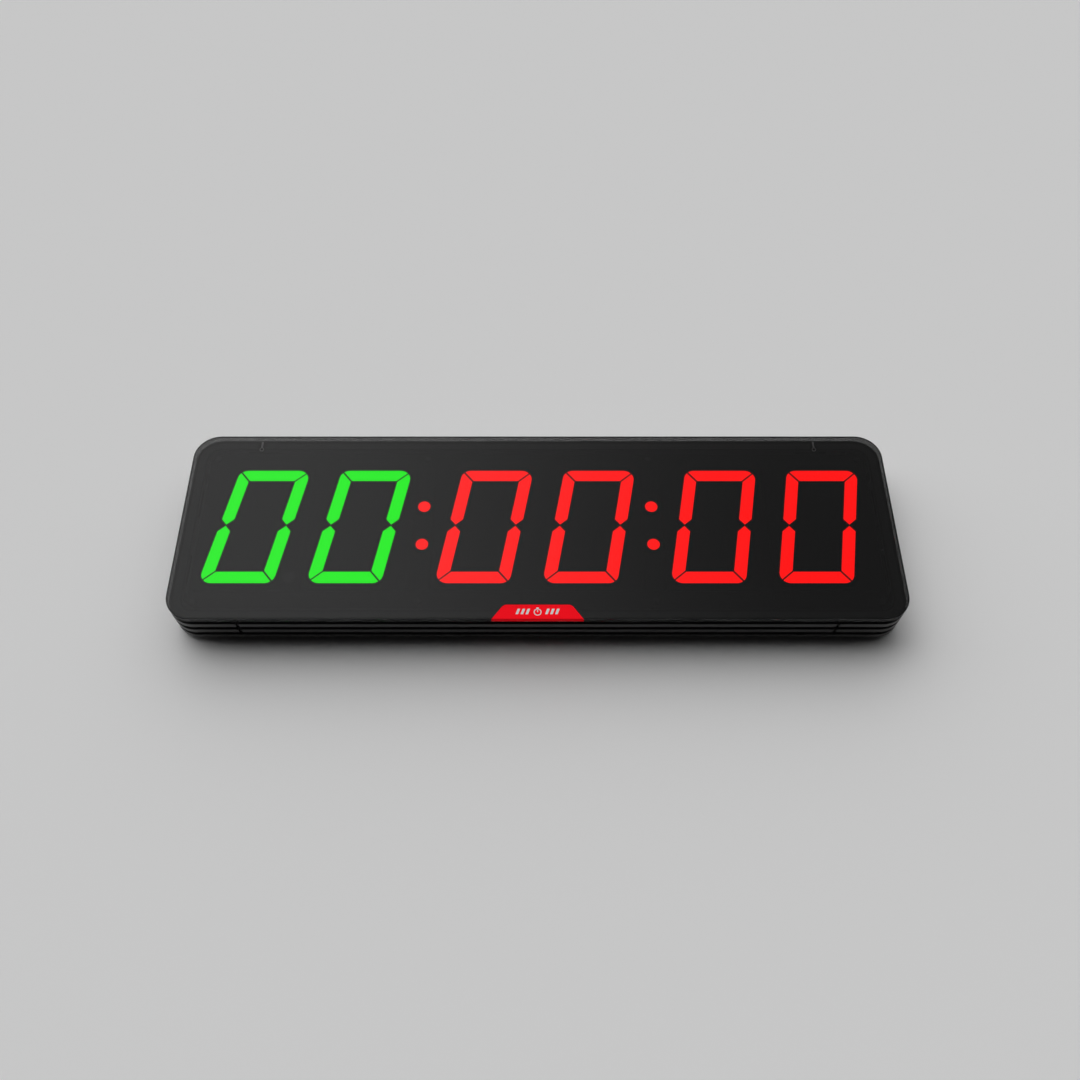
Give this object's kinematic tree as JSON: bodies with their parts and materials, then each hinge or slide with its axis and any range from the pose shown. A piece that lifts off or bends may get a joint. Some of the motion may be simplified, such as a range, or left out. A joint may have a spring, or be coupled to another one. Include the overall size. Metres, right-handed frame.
{
  "type": "gym round timer",
  "caption": "Long flat LED interval timer with slanted green and red seven-segment digits behind a smoked lens in a ribbed black frame, lying on its back on rubber feet.",
  "frame": {"origin": "on the surface it lies on, under the middle of the frame", "axes": "+X along the display to the right as it is read, +Y towards its upper edge, +Z out of its face"},
  "size_m": [0.69, 0.205, 0.0443],
  "materials": {
    "bezel": "satin black moulding",
    "lens": "polished smoked acrylic",
    "tape": "matt black foam tape",
    "key_metal": "plain",
    "badge_red": "gloss red",
    "badge_mark": "light grey inlay",
    "rail": "black anodised",
    "corner": "fine-textured black moulding",
    "rear_plastic": "fine-textured black moulding",
    "cover_plastic": "grained black sheet",
    "screw_steel": "black zinc",
    "board_screw_steel": "plain",
    "rubber": "matt",
    "standoff_brass": "plain",
    "circuit_board": "black solder mask",
    "black_plastic": "moulded",
    "chip": "moulded",
    "capacitor_can": "plain",
    "cell_steel": "plain",
    "ir_plastic": "dark translucent",
    "led_chip": "moulded",
    "display_plastic": "black face",
    "lit_green": "glowing diffuser",
    "lit_red": "glowing diffuser",
    "unlit_diffuser": "unlit smoked diffuser",
    "rocker_plastic": "gloss black",
    "lead_jacket": "satin"
  },
  "bodies": {
    "timer": {"back_cover": "cover_plastic", "badge": "badge_red", "badge_emblem": "badge_mark", "board_header": "black_plastic", "board_screws": "board_screw_steel", "buzzer": "black_plastic", "capacitors": "capacitor_can", "coin_cell": "cell_steel", "coin_cell_holder": "black_plastic", "colon_housings": "display_plastic", "colon_lights": "lit_red", "control_board": "circuit_board", "corner_bottom_left": "corner", "corner_bottom_right": "corner", "corner_top_left": "corner", "corner_top_right": "corner", "cover_screws": "screw_steel", "dc_jack": "black_plastic", "digit_bar_1": "unlit_diffuser", "digit_bar_2": "unlit_diffuser", "digit_bar_3": "unlit_diffuser", "digit_bar_4": "unlit_diffuser", "digit_bar_5": "unlit_diffuser", "digit_bar_6": "unlit_diffuser", "digit_housing_1": "display_plastic", "digit_housing_2": "display_plastic", "digit_housing_3": "display_plastic", "digit_housing_4": "display_plastic", "digit_housing_5": "display_plastic", "digit_housing_6": "display_plastic", "digit_segments_1": "lit_green", "digit_segments_2": "lit_green", "digit_segments_3": "lit_red", "digit_segments_4": "lit_red", "digit_segments_5": "lit_red", "digit_segments_6": "lit_red", "display_board": "circuit_board", "driver_chips": "chip", "frame_screws": "screw_steel", "front_bezel": "bezel", "ir_receiver": "ir_plastic", "ir_window": "ir_plastic", "jack_nut": "screw_steel", "joiner_rivets": "rail", "led_chips": "led_chip", "lens": "lens", "lens_tape": "tape", "microcontroller": "chip", "power_leads": "lead_jacket", "rail_bottom": "rail", "rail_left": "rail", "rail_right": "rail", "rail_top": "rail", "rear_frame": "rear_plastic", "rubber_feet": "rubber", "seam_joiners": "rail", "seam_keys": "key_metal", "standoffs": "standoff_brass", "switch_housing": "black_plastic"},
    "rocker": {"switch_rocker": "rocker_plastic"}
  },
  "joints": [
    {"name": "power_rocker", "type": "hinge", "parent": "timer", "child": "rocker", "pos_m": [0.34, 0.013, 0.02415], "axis": [0, 0, 1], "range_deg": [0, 16]}
  ]
}
